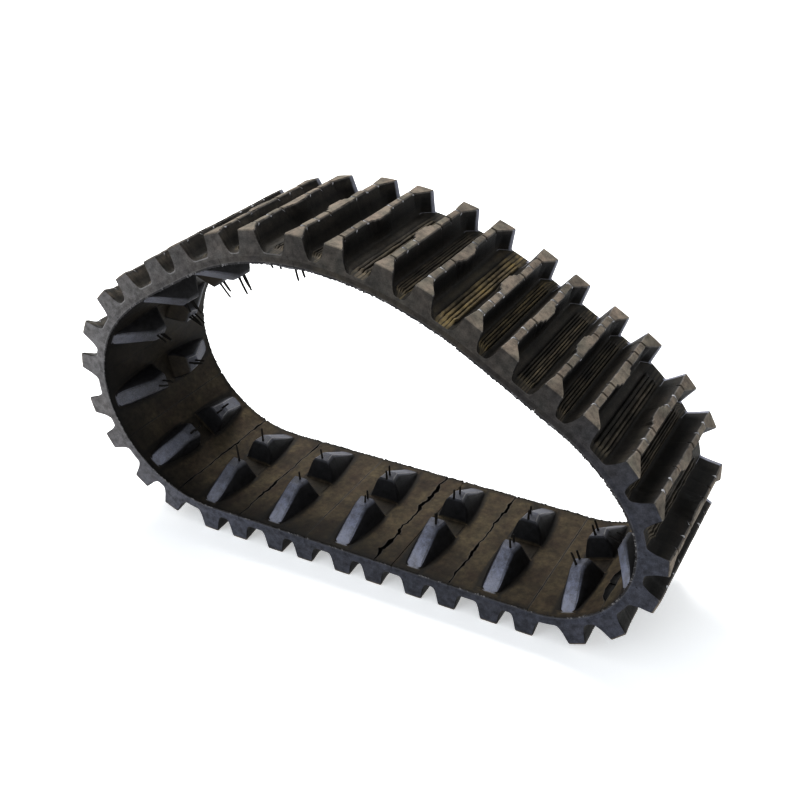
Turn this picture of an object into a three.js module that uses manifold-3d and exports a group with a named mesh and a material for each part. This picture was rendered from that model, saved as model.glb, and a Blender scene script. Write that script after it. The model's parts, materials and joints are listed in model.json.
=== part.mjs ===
// Rubber track: an endless moulded belt with grousers outside and two rows of drive lugs inside.
// It stands on its ground run and slumps into a low arch. The belt is built as one section per
// drive pitch: a tread, a ply of tension cords and an inner liner with a pair of drive lugs.
// Millimetres. +X runs along the ground run, +Y across the belt, +Z up.
// Along the belt, a place is its distance round the pitch line and its height out of that line.
import * as THREE from 'three';
import { ConvexGeometry } from 'three/addons/geometries/ConvexGeometry.js';
import { mergeVertices } from 'three/addons/utils/BufferGeometryUtils.js';
import Module from 'manifold-3d';

const wasm = await Module();
wasm.setup();

// The loop
const PITCH = 60;
const PITCHES = 18;
const LENGTH = PITCH * PITCHES;
const GROUND = { turn: 0 };
const LEFT_CORNER = { radius: 89.5, turn: 135 };
const LEFT_HAUNCH = { radius: 183, turn: 15 };
const LEFT_SHOULDER = { turn: 0 };
const LEFT_CROWN = { radius: 181, turn: 32 };
const RIGHT_CROWN = { radius: 243, turn: 29 };
const RIGHT_SHOULDER = { turn: 0 };
const RIGHT_HAUNCH = { radius: 147, turn: 26 };
const RIGHT_CORNER = { radius: 71.5, turn: 123 };
const ROUTE = [GROUND, LEFT_CORNER, LEFT_HAUNCH, LEFT_SHOULDER, LEFT_CROWN, RIGHT_CROWN,
  RIGHT_SHOULDER, RIGHT_HAUNCH, RIGHT_CORNER];
const STRAIGHTS = [GROUND, LEFT_SHOULDER, RIGHT_SHOULDER];

// The belt, in heights out of the pitch line
const WIDTH = 116;
const CORD_WIDTH = 108;
const FLOOR = 2.5;
const CREST = 17.5;
const INNER_FACE = -5;
const COVER_GAP = 0.75;
const CORD_HALF = 0.45;
const STEPS = 6;

// A section starts at a hinge line, in a groove clear of the lugs on both faces
const FIRST_HINGE = -10.7;
const END_GAP = 0.15;
const END_SLOPE = 0.06;

// Two grousers to a section, each a thin web between two wide end blocks. The web stands off
// their middle, towards the section's start. Reaches are before and after the grouser's centre
const GROUSERS = [16.3, 43.1];
const BLOCK = { crest: [-6.5, 6.5], root: [-10.8, 10.8] };
const WEB = { crest: [-5.8, 0.2], root: [-9.5, 4] };
const BLOCK_END = WIDTH / 2;
const BLOCK_INNER = 50;
const WEB_END = 42;

// A drive lug rises from a narrow foot near the belt's edge to a small top, and ends in a wide
// steep face at the wheel channel in the middle
const DRIVE_LUG = 45.3;
const LUG_HEIGHT = 16;
const LUG_SINK = 2;
const RAMP_FOOT = { y: 55.3, half: 4.8 };
const RAMP_TOP = { y: 23, half: 4 };
const LUG_TOP = { y: 14, half: 4.2 };
const LUG_FOOT = { y: 8, half: 10.5 };

const outerRubber = { color: 0x202226, roughness: 0.62, metalness: 0 };
const innerRubber = { color: 0x2c2926, roughness: 0.7, metalness: 0 };
const cord = { color: 0xb9ad94, roughness: 0.85, metalness: 0 };

// A stretch of the route turns clockwise: its end is [x, z, heading], and a heading of 0 is +X
function follow([x, z, heading], stretch, distance) {
  if (!stretch.turn) {
    return [x + distance * Math.cos(heading), z + distance * Math.sin(heading), heading];
  }
  const { radius } = stretch;
  const turned = heading - distance / radius;
  return [
    x + radius * (Math.sin(heading) - Math.sin(turned)),
    z - radius * (Math.cos(heading) - Math.cos(turned)),
    turned,
  ];
}

function lengthOf(stretch) {
  return stretch.turn ? stretch.radius * THREE.MathUtils.degToRad(stretch.turn) : stretch.length;
}

// Where the route ends, and how long it is, when its straights have these lengths
function routeEnd(lengths) {
  STRAIGHTS.forEach((stretch, i) => { stretch.length = lengths[i]; });
  const start = [0, 0, Math.PI];
  const [x, z] = ROUTE.reduce((at, stretch) => follow(at, stretch, lengthOf(stretch)), start);
  const total = ROUTE.reduce((sum, stretch) => sum + lengthOf(stretch), 0);
  return new THREE.Vector3(x, z, total);
}

// The straights take the lengths that close the loop at its full length
function closeLoop() {
  const bare = routeEnd([0, 0, 0]);
  const gains = [[1, 0, 0], [0, 1, 0], [0, 0, 1]].map((one) => routeEnd(one).sub(bare));
  const toLengths = new THREE.Matrix3().set(
    gains[0].x, gains[1].x, gains[2].x,
    gains[0].y, gains[1].y, gains[2].y,
    gains[0].z, gains[1].z, gains[2].z,
  ).invert();
  routeEnd(new THREE.Vector3(0, 0, LENGTH).sub(bare).applyMatrix3(toLengths).toArray());
}

// The point and directions of the pitch line at a distance round it
function lineAt(distance) {
  let rest = THREE.MathUtils.euclideanModulo(distance, LENGTH);
  let at = [0, CREST, Math.PI];
  for (const stretch of ROUTE) {
    const length = lengthOf(stretch);
    if (rest <= length) {
      at = follow(at, stretch, rest);
      break;
    }
    at = follow(at, stretch, length);
    rest -= length;
  }
  const [x, z, heading] = at;
  return {
    point: new THREE.Vector2(x, z),
    along: new THREE.Vector2(Math.cos(heading), Math.sin(heading)),
    out: new THREE.Vector2(-Math.sin(heading), Math.cos(heading)),
  };
}

// A point that bends with the belt, and one that stays square to the belt at a lug's centre
function onBelt(distance, height) {
  const { point, out } = lineAt(distance);
  return point.addScaledVector(out, height);
}

function onLug(centre, offset, height) {
  const { point, along, out } = lineAt(centre);
  return point.addScaledVector(along, offset).addScaledVector(out, height);
}

// Section ends lean away from the hinge line, so that neighbours can turn about it
function endGap(height) {
  return END_GAP + END_SLOPE * Math.abs(height);
}

function beltFace(start, height) {
  const from = start + endGap(height);
  const step = (PITCH - 2 * endGap(height)) / STEPS;
  return Array.from({ length: STEPS + 1 }, (_, i) => onBelt(from + i * step, height));
}

// A closed solid through matching outlines, given as [y, points] from the low to the high y
function loft(outlines) {
  const count = outlines[0][1].length;
  const positions = outlines.flatMap(([y, points]) => points.flatMap((p) => [p.x, y, p.y]));
  const faces = [];
  for (let ring = 0; ring < outlines.length - 1; ring += 1) {
    for (let i = 0; i < count; i += 1) {
      const a = ring * count + i;
      const b = ring * count + ((i + 1) % count);
      faces.push(a, b, b + count, a, b + count, a + count);
    }
  }
  const last = (outlines.length - 1) * count;
  THREE.ShapeUtils.triangulateShape(outlines[0][1], []).forEach(([a, b, c]) => {
    faces.push(a, b, c, last + a, last + c, last + b);
  });
  const geometry = new THREE.BufferGeometry();
  geometry.setAttribute('position', new THREE.Float32BufferAttribute(positions, 3));
  geometry.setIndex(faces);
  return geometry;
}

function strip(start, innerHeight, outerHeight, width) {
  const outline = [...beltFace(start, outerHeight), ...beltFace(start, innerHeight).reverse()];
  return loft([[-width / 2, outline], [width / 2, outline]]);
}

function grouserOutline(centre, { crest, root }) {
  return [
    onBelt(centre + root[0], FLOOR),
    onLug(centre, crest[0], CREST),
    onLug(centre, crest[1], CREST),
    onBelt(centre + root[1], FLOOR),
  ];
}

function tread(start) {
  const outline = (profile) => [
    onBelt(start + endGap(FLOOR), FLOOR),
    ...GROUSERS.flatMap((offset) => grouserOutline(start + offset, profile)),
    onBelt(start + PITCH - endGap(FLOOR), FLOOR),
    ...beltFace(start, COVER_GAP).reverse(),
  ];
  const half = [[BLOCK_END, BLOCK], [BLOCK_INNER, BLOCK], [WEB_END, WEB]];
  const stations = [
    ...half.map(([y, profile]) => [-y, profile]),
    ...half.reverse(),
  ];
  return loft(stations.map(([y, profile]) => [y, outline(profile)]));
}

// side is -1 or +1 across the belt
function driveLug(start, side) {
  const foot = INNER_FACE + LUG_SINK;
  const top = INNER_FACE - LUG_HEIGHT;
  const corners = [[RAMP_FOOT, foot], [LUG_FOOT, foot], [RAMP_TOP, top], [LUG_TOP, top]];
  const points = corners.flatMap(([{ y, half }, height]) => [-half, half].map((offset) => {
    const p = onLug(start + DRIVE_LUG, offset, height);
    return new THREE.Vector3(p.x, side * y, p.y);
  }));
  return new ConvexGeometry(points);
}

function toManifold(geometry) {
  const bare = geometry.clone();
  bare.deleteAttribute('normal');
  bare.deleteAttribute('uv');
  const merged = mergeVertices(bare);
  return new wasm.Manifold(new wasm.Mesh({
    numProp: 3,
    vertProperties: Float32Array.from(merged.attributes.position.array),
    triVerts: Uint32Array.from(merged.index.array),
  }));
}

function fromManifold(solid) {
  const { vertProperties, triVerts } = solid.getMesh();
  const geometry = new THREE.BufferGeometry();
  geometry.setAttribute('position', new THREE.BufferAttribute(vertProperties, 3));
  geometry.setIndex(new THREE.BufferAttribute(triVerts, 1));
  return geometry;
}

function liner(start) {
  const plate = toManifold(strip(start, INNER_FACE, -COVER_GAP, WIDTH));
  const lugs = [-1, 1].map((side) => toManifold(driveLug(start, side)));
  return fromManifold(lugs.reduce((solid, lug) => solid.add(lug), plate));
}

function piece(name, number, geometry, finish) {
  geometry.computeVertexNormals();
  const mesh = new THREE.Mesh(geometry, new THREE.MeshStandardMaterial(finish));
  mesh.name = `${name}_${String(number).padStart(2, '0')}`;
  return mesh;
}

function section(number) {
  const start = FIRST_HINGE + (number - 1) * PITCH;
  const group = new THREE.Group();
  group.add(
    piece('tread_section', number, tread(start), outerRubber),
    piece('cord_ply', number, strip(start, -CORD_HALF, CORD_HALF, CORD_WIDTH), cord),
    piece('drive_lug_section', number, liner(start), innerRubber),
  );
  return group;
}

closeLoop();
const track = new THREE.Group();
for (let number = 1; number <= PITCHES; number += 1) track.add(section(number));

// The origin is on the ground under the middle of the loop
const box = new THREE.Box3().setFromObject(track);
track.position.set(-(box.min.x + box.max.x) / 2, 0, -box.min.z);

export default track;
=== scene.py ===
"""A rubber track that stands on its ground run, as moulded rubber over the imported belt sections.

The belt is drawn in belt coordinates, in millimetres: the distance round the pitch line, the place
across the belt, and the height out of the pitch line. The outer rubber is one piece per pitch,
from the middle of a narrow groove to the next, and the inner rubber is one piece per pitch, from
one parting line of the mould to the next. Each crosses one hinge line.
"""

import json
import math
import random

import bmesh
import bpy
import numpy as np
from mathutils import Matrix, Vector


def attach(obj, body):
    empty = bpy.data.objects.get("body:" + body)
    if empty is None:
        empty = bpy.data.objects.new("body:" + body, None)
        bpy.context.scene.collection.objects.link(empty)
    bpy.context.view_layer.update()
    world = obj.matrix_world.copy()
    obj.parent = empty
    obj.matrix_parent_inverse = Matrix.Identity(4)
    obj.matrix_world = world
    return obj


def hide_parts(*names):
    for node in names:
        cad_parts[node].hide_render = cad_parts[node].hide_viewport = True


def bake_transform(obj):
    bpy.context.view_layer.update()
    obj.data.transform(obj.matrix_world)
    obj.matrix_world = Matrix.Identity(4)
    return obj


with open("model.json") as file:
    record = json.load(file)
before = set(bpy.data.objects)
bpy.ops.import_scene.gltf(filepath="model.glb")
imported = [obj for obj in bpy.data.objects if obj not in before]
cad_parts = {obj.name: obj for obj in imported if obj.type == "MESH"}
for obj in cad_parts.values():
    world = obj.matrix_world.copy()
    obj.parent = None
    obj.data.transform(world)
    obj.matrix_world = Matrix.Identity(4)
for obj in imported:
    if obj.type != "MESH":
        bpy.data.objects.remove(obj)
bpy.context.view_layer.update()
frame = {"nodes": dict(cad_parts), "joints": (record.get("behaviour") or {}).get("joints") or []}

MM = 0.001

# The loop, as in the CAD model: a radius and a turn in degrees for each stretch, none on a straight
PITCH = 60
PITCHES = 18
LENGTH = PITCH * PITCHES
FIRST_HINGE = -10.7
ROUTE = [(0, 0), (89.5, 135), (183, 15), (0, 0), (181, 32), (243, 29), (0, 0), (147, 26), (71.5, 123)]

# The belt, in heights out of the pitch line
HALF_WIDTH = 58
CREST = 17.5
FLOOR = 2.5
INNER_FACE = -5
# The hollow round the cord ply: half its width, and half its height
PLY_EDGE = 54.6
PLY_COVER = 0.75
# Two places along the belt from a piece's hinge, for where a whole piece would bend; they are worked
# out but not used
HINGE_REACH = (-4, 5)
# The pivot left open is this section's start. The halves' ends there lean away from the hinge
# line: a gap on it, and a slope
OPEN_PIVOT = 3
OPEN_GAP = 0.03
OPEN_SLOPE = 0.05

# Outer pieces start in a narrow groove, this far past a section's start. Their two grousers and
# the hinge that they cross are by their distance past it
OUTER_START = 29.7
OUTER_HINGE = PITCH - OUTER_START
GROUSER_A = 13.4
GROUSER_B = 46.6
# An end block's half length at its crest, a wall's spread down to its root, and how much less
# that is on the blocks
BLOCK_REACH = 6.5
WALL_SPREAD = 4.2
BLOCK_STEEPER = 1.5
BEVEL = 0.5
# Across the belt: where the flare from web to block starts at the crest (far side, near side) and
# at the root, where it ends, where the painted highlight along a wall's far edge starts, and the
# ends' rounding
FLARE_CREST = (43.5, 45)
FLARE_ROOT = 49
FLARE_END = 56.8
FAR_HIGHLIGHT_START = 54.6
END_ROUND = 0.5
# Cuts across the crest, and the steps of the pad in its middle
SIPES = (15.5, 29, 43)
SIPE_HALF = 0.8
SIPE_DEPTH = 2.2
PAD_STEPS = (6.2, 7.4, 9.9, 11.1)

# Inner pieces start at a parting line, this far past a section's start. The hinge and the lugs
# are by their distance past it, and a lug's foot, top and ramp by place across the belt
INNER_START = 14.4
INNER_HINGE = PITCH - INNER_START
LUG_CENTRE = 30.9
LUG_HEIGHT = 16.8
LUG_FOOT = 8.67
LUG_TOP = (14, 24)
RAMP_FOOT = 53
# How far the smooth rubber between a pair's lugs stands up
PEDESTAL = 0.3
# A lug's half length along the belt at its foot and at its crown, by place across the belt
FOOT_HALF = ((LUG_FOOT, 11.6), (14, 12.2), (20, 12), (35, 10.2), (45, 8), (RAMP_FOOT, 5.8))
CROWN_HALF = ((LUG_FOOT, 10.4), (LUG_TOP[0], 5.9), (LUG_TOP[1], 4.3), (RAMP_FOOT, 5.4))


# ---- belt coordinates


def follow(start, radius, distance):
    """Where a stretch of the route leads: x, z and heading, turning clockwise."""
    x, z, heading = start
    if not radius:
        return x + distance * np.cos(heading), z + distance * np.sin(heading), heading
    turned = heading - distance / radius
    x = x + radius * (np.sin(heading) - np.sin(turned))
    z = z - radius * (np.cos(heading) - np.cos(turned))
    return x, z, turned


def route_lengths(straights):
    straights = list(straights)
    return [radius * math.radians(turn) if turn else straights.pop(0) for radius, turn in ROUTE]


def route_end(straights):
    at = (0.0, 0.0, math.pi)
    lengths = route_lengths(straights)
    for (radius, _), length in zip(ROUTE, lengths):
        at = follow(at, radius, length)
    return np.array([at[0], at[1], sum(lengths)])


def closed_route():
    """The stretches with the straights that close the loop, as (from, length, radius, start)."""
    bare = route_end([0, 0, 0])
    gains = np.array([route_end(one) - bare for one in np.eye(3)]).T
    straights = np.linalg.solve(gains, np.array([0, 0, LENGTH]) - bare)
    stretches, passed, at = [], 0.0, (0.0, 0.0, math.pi)
    for (radius, _), length in zip(ROUTE, route_lengths(straights)):
        stretches.append((passed, length, radius, at))
        at = follow(at, radius, length)
        passed += length
    return stretches


STRETCHES = closed_route()


def line_at(distance):
    """The pitch line's x, z and heading at each distance round it."""
    rest = np.mod(distance, LENGTH)
    x, z, heading = (np.zeros_like(rest) for _ in range(3))
    for passed, length, radius, start in STRETCHES:
        here = (rest >= passed) & (rest <= passed + length)
        x[here], z[here], heading[here] = follow(start, radius, rest[here] - passed)
    return x, z, heading


def hinge_distance(number):
    """How far round the pitch line a section starts."""
    return FIRST_HINGE + (number - 1) * PITCH


def route_origin():
    """Where the route's zero lies in the frame: a hinge's place, less its place on the route."""
    joint = next(j for j in frame["joints"] if j["child"] == "section_04")
    x, z, _ = line_at(np.array([hinge_distance(4)]))
    return joint["pos_m"][0] / MM - x[0], joint["pos_m"][2] / MM - z[0]


ORIGIN_X, ORIGIN_Z = route_origin()


def smooth(value):
    """0 up to 0, 1 from 1 on, and a smooth rise between them."""
    value = np.clip(value, 0, 1)
    return value * value * (3 - 2 * value)


def at_section(table, number):
    """A table's value at a section, or between two."""
    return float(np.interp(number, *zip(*table)))


def place(distance, across, height, centre=None, stiff=None):
    """Points in the frame, in metres. A point bends with the belt, and where it is stiff it stays
    square to the belt at its lug's centre."""
    x, z, heading = line_at(distance)
    x, z = x - np.sin(heading) * height, z + np.cos(heading) * height
    if centre is not None:
        cx, cz, turned = line_at(centre)
        ahead = distance - centre
        rigid_x = cx + ahead * np.cos(turned) - height * np.sin(turned)
        rigid_z = cz + ahead * np.sin(turned) + height * np.cos(turned)
        x = x + stiff * (rigid_x - x)
        z = z + stiff * (rigid_z - z)
    return np.stack([(x + ORIGIN_X) * MM, across * MM, (z + ORIGIN_Z) * MM], -1)


def frame_point(distance):
    """The pitch line's point in the frame, in metres."""
    return tuple(place(np.array([distance]), np.array([0.0]), np.array([0.0]))[0])


# ---- uneven lines


def wobble(rng, along, size, periods=(37, 17, 8)):
    """A smooth uneven line, made of waves with seeded phases."""
    total = np.zeros_like(along, dtype=float)
    for share, period in zip((0.5, 0.3, 0.2), periods):
        stretch, phase = rng.uniform(0.8, 1.25), rng.uniform(0, 2 * math.pi)
        total += size * share * np.sin(2 * math.pi * along / (period * stretch) + phase)
    return total


def jagged(rng, count, size):
    """A rough line: a seeded share of size at each of count points."""
    return np.array([rng.random() for _ in range(count)]) * size


# ---- meshes


class Skin:
    """Vertices in belt coordinates with their finish, and faces, of one piece.

    A finish is (warm dust, yellow dust, cool bloom with painted sheen, scuff with painted
    highlights), each from 0 to about 1. A scuff past 1 is torn and light."""

    def __init__(self, start):
        self.start = start
        self.belt, self.world, self.finish, self.faces = [], [], [], []
        self.count = 0

    def add(self, along, across, height, finish, faces, centre=None, stiff=None):
        along, across, height = (np.asarray(v, float).ravel() for v in (along, across, height))
        distance = self.start + along
        if centre is not None:
            centre = self.start + np.asarray(centre, float).ravel()
            stiff = np.asarray(stiff, float).ravel()
        self.world.append(place(distance, across, height, centre, stiff))
        self.belt.append(np.stack([distance, across, height], -1))
        self.finish.append(np.broadcast_to(np.asarray(finish, float), (len(along), 4)))
        self.faces += [tuple(self.count + i for i in face) for face in faces]
        self.count += len(along)

    def build(self, name, material, slot):
        mesh = bpy.data.meshes.new(name)
        mesh.from_pydata(np.concatenate(self.world).tolist(), [], self.faces)
        for key, field, rows in (("belt", "vector", self.belt), ("finish", "color", self.finish)):
            attribute = mesh.attributes.new(key, f"FLOAT_{field.upper()}", "POINT")
            attribute.data.foreach_set(field, np.concatenate(rows).astype(np.float32).ravel())
        tidy_mesh(mesh)
        mesh.materials.append(material)
        obj = bpy.data.objects.new(name, mesh)
        bpy.context.scene.collection.objects.link(obj)
        return obj


# Edges that bend more than this are sharp, and points closer than this, in metres, are one
SHARP = math.radians(38)
WELD = 1e-6


def tidy_mesh(mesh):
    """Welds doubled points, drops faces of no area, turns faces outwards and marks sharp edges."""
    work = bmesh.new()
    work.from_mesh(mesh)
    bmesh.ops.remove_doubles(work, verts=work.verts, dist=WELD)
    bmesh.ops.dissolve_degenerate(work, edges=work.edges, dist=WELD)
    bmesh.ops.recalc_face_normals(work, faces=work.faces)
    work.to_mesh(mesh)
    work.free()
    mesh.polygons.foreach_set("use_smooth", [True] * len(mesh.polygons))
    mesh.set_sharp_from_angle(angle=SHARP)
    mesh.update()


def loft_faces(rings, points):
    """Quads between closed rings of points, with a face over each end."""
    faces = []
    for ring in range(rings - 1):
        for i in range(points):
            a, b = ring * points + i, ring * points + (i + 1) % points
            faces.append((a, b, b + points, a + points))
    faces.append(tuple(range(points)))
    faces.append(tuple(range((rings - 1) * points, rings * points)))
    return faces


class Profile:
    """Lines that run across the belt, in order along it. Each is the along, height and finish of
    every station, and the centre of the lug that it may be part of."""

    def __init__(self, stations, centre=0.0):
        self.stations, self.centre, self.lines = stations, centre, []

    def spread(self, value):
        return np.broadcast_to(np.asarray(value, float), self.stations.shape)

    def line(self, along, height, finish, centre=None):
        finish = np.stack([self.spread(value) for value in finish], -1)
        centre = self.centre if centre is None else centre
        self.lines.append((self.spread(along), self.spread(height), finish, centre))


# How far the belt's edges stray from flat
EDGE_STRAY = 0.07


def rings_of(profile, side_shares, under, side_finish, rng):
    """Closed rings round the belt's section: the worked face, both edges down to the pitch line
    with points at side_shares of the way, and the underside, as (across, height) points."""
    rings = []
    for t, h, look, centre in profile.lines:
        ring = list(zip(t, profile.stations, h, look))
        for side, end in ((1, -1), (-1, 0)):
            at, top = t[end], h[end]
            for share in side_shares if side > 0 else reversed(side_shares):
                across = side * (HALF_WIDTH + rng.uniform(-EDGE_STRAY, EDGE_STRAY))
                ring.append((at, across, top - top * share, side_finish(at, top, share)))
            if side > 0:
                ring += [(at, y, low, side_finish(at, 0.0, 1)) for y, low in under]
        rings.append((*zip(*ring), [centre] * len(ring)))
    return [np.array(column, float) for column in zip(*rings)]


def add_rings(skin, rings, face):
    """Lofts the rings into one closed solid of the skin. A point is stiff once it stands a few
    millimetres off the belt's face."""
    along, across, height, finish, centre = rings
    stiff = smooth((np.abs(height) - abs(face) - 0.5) / 4)
    skin.add(along, across, height, finish.reshape(-1, 4), loft_faces(*along.shape), centre, stiff)
    return skin


def add_tube(skin, path, radii, finish, sides=6):
    """A closed tube along (along, across, height) points, square to the belt at the lug."""
    ahead = np.gradient(path, axis=0)
    ahead /= np.linalg.norm(ahead, axis=1)[:, None]
    sideways = np.array([0.3, 1.0, 0.1])
    u = np.cross(ahead, sideways)
    u /= np.linalg.norm(u, axis=1)[:, None]
    v = np.cross(ahead, u)
    turn = np.linspace(0, 2 * math.pi, sides, endpoint=False)[None, :, None]
    around = np.cos(turn) * u[:, None] + np.sin(turn) * v[:, None]
    flat = (path[:, None] + around * radii[:, None, None]).reshape(-1, 3)
    faces = loft_faces(len(path), sides)
    skin.add(*flat.T, finish, faces, np.full(len(flat), LUG_CENTRE), np.ones(len(flat)))


def open_halves(rings, hinge):
    """The rings before and after the open pivot, each with its end leant back from the hinge."""
    halves = []
    for sign, span in ((-1, slice(0, hinge + 1)), (1, slice(hinge, None))):
        along, across, height, finish, centre = (v.copy() for v in rings)
        along[hinge] += sign * (OPEN_GAP + OPEN_SLOPE * np.abs(height[hinge]))
        halves.append([v[span] for v in (along, across, height, finish, centre)])
    return halves


# ---- outer rubber


# How wide a sipe's wall is, across the belt
SIPE_WALL = 0.12


def outer_stations():
    """Places across the belt: closest at the pad's steps, the sipes, the flare and the ends."""
    half = [0, 3.3, *PAD_STEPS, 12.5]
    for sipe in SIPES:
        for reach in (SIPE_HALF, SIPE_HALF + SIPE_WALL):
            half += [sipe - reach, sipe + reach]
    half += [19, 22, 25.2, 32.6, 36, 39.4, 45.4, 46.6, 47.8, 49, 50.2, 51.5, 53, 54.6, 55.7]
    half += [HALF_WIDTH - END_ROUND * (1 - math.sin(math.radians(a))) for a in (0, 25, 48, 68, 90)]
    half = sorted(half)
    return np.array([-y for y in reversed(half) if y] + half)


OUTER_Y = outer_stations()
OUTER_SPAN = np.abs(OUTER_Y)

# Looks of the tread: warm dust, yellow dust, cool bloom with painted sheen, scuff with painted
# highlights
CREST_LOOK = (0.95, 0.0, 0.0, 0.1)
EDGE_LOOK = (0.5, 0.0, 0.05, 0.55)
FOOT_LOOK = (0.09, 0.02, 0.0, 0.03)
UNDER_EDGE_LOOK = (0.1, 0.0, 0.03, 0.02)
DUSTY_WALL_LOOK = (0.3, 0.06, 0.0, 0.02)
# The share of that look on the rising walls, as (section, share) round the loop: most on the crown
DUSTY_WALLS = ((0, 0.06), (5, 0.06), (7, 0.35), (9, 0.75))
DUSTY_WALLS += ((13, 0.62), (15, 0.4), (17, 0.1), (19, 0.06))
# How dusty the falling walls are round the loop: most on the left haunch
WALL_DUST = ((0, 0.015), (6, 0.05), (8, 0.42), (10, 0.26), (11.5, 0.1), (13, 0.01), (19, 0.015))


def edge_reach(web, pad, at_crest):
    """How far a grouser's edge stands off its centre: at the crest a stepped pad in the middle,
    then the web, then a straight flare to the end block, which starts further out at the root."""
    pad = pad if at_crest else web
    middle = (pad, pad, *(2 * [0.4 * web + 0.6 * pad]), web)
    reach = np.interp(OUTER_SPAN, (0, *PAD_STEPS), middle)
    far, near = FLARE_CREST if at_crest else (FLARE_ROOT, FLARE_ROOT)
    start = np.where(OUTER_Y > 0, far, near)
    grow = np.clip((OUTER_SPAN - start) / (FLARE_END - start), 0, 1)
    return reach + (BLOCK_REACH - reach) * grow


def wall_spread():
    """How far a wall's root stands out past its crest at each station."""
    grow = np.clip((OUTER_SPAN - FLARE_ROOT) / (FLARE_END - FLARE_ROOT), 0, 1)
    return WALL_SPREAD - BLOCK_STEEPER * grow


# Where the web turns into the end block, and the stretch that it takes
FLARE_TURN = 45
FLARE_FADE = 3


def near_flare():
    return smooth((-OUTER_Y - FLARE_TURN) / FLARE_FADE)


def grouser_lines(profile, centre, before, after, dusts, rng):
    """One grouser: wall, crest and wall. before and after are (web, pad) reaches, and dusts says
    how dusty the two walls are. Sipes, open and dark or filled and light, part the crest into
    uneven segments."""
    y, span = OUTER_Y, OUTER_SPAN
    in_sipe = (np.abs(span[:, None] - SIPES) < SIPE_HALF + 0.01).any(1)
    segment = np.searchsorted(np.sort([s * d for s in SIPES for d in (-1, 1)]), y)
    segments = range(2 * len(SIPES) + 1)
    lift = np.array([rng.uniform(-0.4, -0.1) for _ in segments])[segment]
    shift = np.array([rng.uniform(-0.5, 0.5) for _ in segments])[segment]
    shift = shift * (span < FLARE_TURN - 1)
    filled = np.array([rng.choice((0.0, 1.0)) for _ in segments])[segment]
    open_sipe, light_sipe = in_sipe * (1 - filled), in_sipe * filled
    round_off = np.clip((span - HALF_WIDTH + END_ROUND) / END_ROUND, 0, 1)
    pull = END_ROUND * (1 - np.sqrt(1 - round_off**2))
    top = CREST + lift - SIPE_DEPTH * open_sipe - 0.5 * light_sipe - 0.45 * pull + wobble(rng, y, 0.1)
    # A painted highlight along the walls' far edge: no dust there, full cool sheen and full scuff
    far_highlight = smooth(y - FAR_HIGHLIGHT_START)
    flare = smooth((span - FLARE_TURN) / FLARE_FADE)

    def wall(sign, reach, rough):
        """Lines from the foot to the crest's edge, and where the crest then starts."""
        crest_at = edge_reach(*reach, True) + sign * shift + wobble(rng, y, 0.15)
        root_at = edge_reach(*reach, False) + wall_spread()
        rising_look = [value * dusts[0] for value in DUSTY_WALL_LOOK]
        side = rising_look if sign < 0 else (dusts[1], 0.0, 0.01, 0.0)
        fillet = 1 + flare * np.where(y > 0, -0.6, 0.5)
        foot = [value * (0.2 + dusts[0]) for value in FOOT_LOOK]
        lines = []

        def scuff_and_highlight(look, crease_highlight=0.0):
            """The look of a wall, with a painted highlight along its far outer edge and another on
            the crease at a flare's foot.
            """
            dust, tan, bloom_and_sheen, scuff = look
            crease_highlight = crease_highlight * flare * (y > 0) * (1 - far_highlight)
            scuff = scuff * (1 - far_highlight) + far_highlight + crease_highlight
            return dust * (1 - far_highlight), tan, bloom_and_sheen * (1 - far_highlight) + far_highlight + 0.6 * crease_highlight, scuff

        def at(height):
            """The wall's place along the belt at a height: straight, but a little hollow."""
            share = np.clip((height - FLOOR) / (CREST - FLOOR), 0, 1)
            hollow = 0.35 * np.sin(math.pi * share) * (1 - flare)
            return centre + sign * (root_at + (crest_at - root_at) * share - hollow)

        # The fillet at the foot is a curve with its corner on the floor
        foot_t = centre + sign * (root_at + 1.5 * fillet)
        bend_t = centre + sign * root_at
        high = FLOOR + 1.9 * fillet * (1 + 0.7 * near_flare())
        for step in (0, 0.35, 0.7, 1):
            a, b, c = (1 - step) ** 2, 2 * step * (1 - step), step**2
            t = a * foot_t + b * bend_t + c * at(high)
            h = (a + b) * FLOOR + c * high
            # A painted highlight on the crease line of the fillet, on the far flare
            crease_highlight = 1.0 if step == 0.35 else 0.0
            lines.append((t - sign * 0.4 * pull * step, h, scuff_and_highlight(foot, crease_highlight)))
        for share, level in ((0.4, 0.35), (0.72, 1.0)):
            h = FLOOR + share * (top - FLOOR)
            look = [value * level for value in side]
            lines.append((at(h) - sign * 0.9 * pull, h, scuff_and_highlight(look)))
        h = top - 1.2
        lines.append((at(h) - sign * pull, h, scuff_and_highlight(UNDER_EDGE_LOOK)))
        h = top - BEVEL
        dust, tan, bloom_and_sheen, scuff = EDGE_LOOK
        tick = (dust * (1 - in_sipe), tan, bloom_and_sheen + 0.9 * light_sipe, scuff + 2.4 * light_sipe)
        lines.append((at(h) - sign * pull + rough, h, scuff_and_highlight(tick)))
        return lines, at(top) - sign * (pull + BEVEL)

    chips = jagged(rng, len(y), 0.3) + 0.9 * (jagged(rng, len(y), 1) > 0.86)
    rising, edge_a = wall(-1, before, chips)
    falling, edge_b = wall(1, after, -chips)
    for step in rising:
        profile.line(*step, centre)
    for share in (0, 0.33, 0.67, 1):
        h = top + 0.1 * math.sin(math.pi * share) + jagged(rng, len(y), 0.08)
        dust, tan, bloom_and_sheen, scuff = CREST_LOOK
        scuff = scuff * (1 - in_sipe) + 2.2 * (1 - share) * light_sipe
        look = (dust * (1 - 0.9 * open_sipe), tan, bloom_and_sheen + 0.5 * light_sipe, scuff)
        profile.line(edge_a + (edge_b - edge_a) * share, h, look, centre)
    for step in reversed(falling):
        profile.line(*step, centre)


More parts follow.
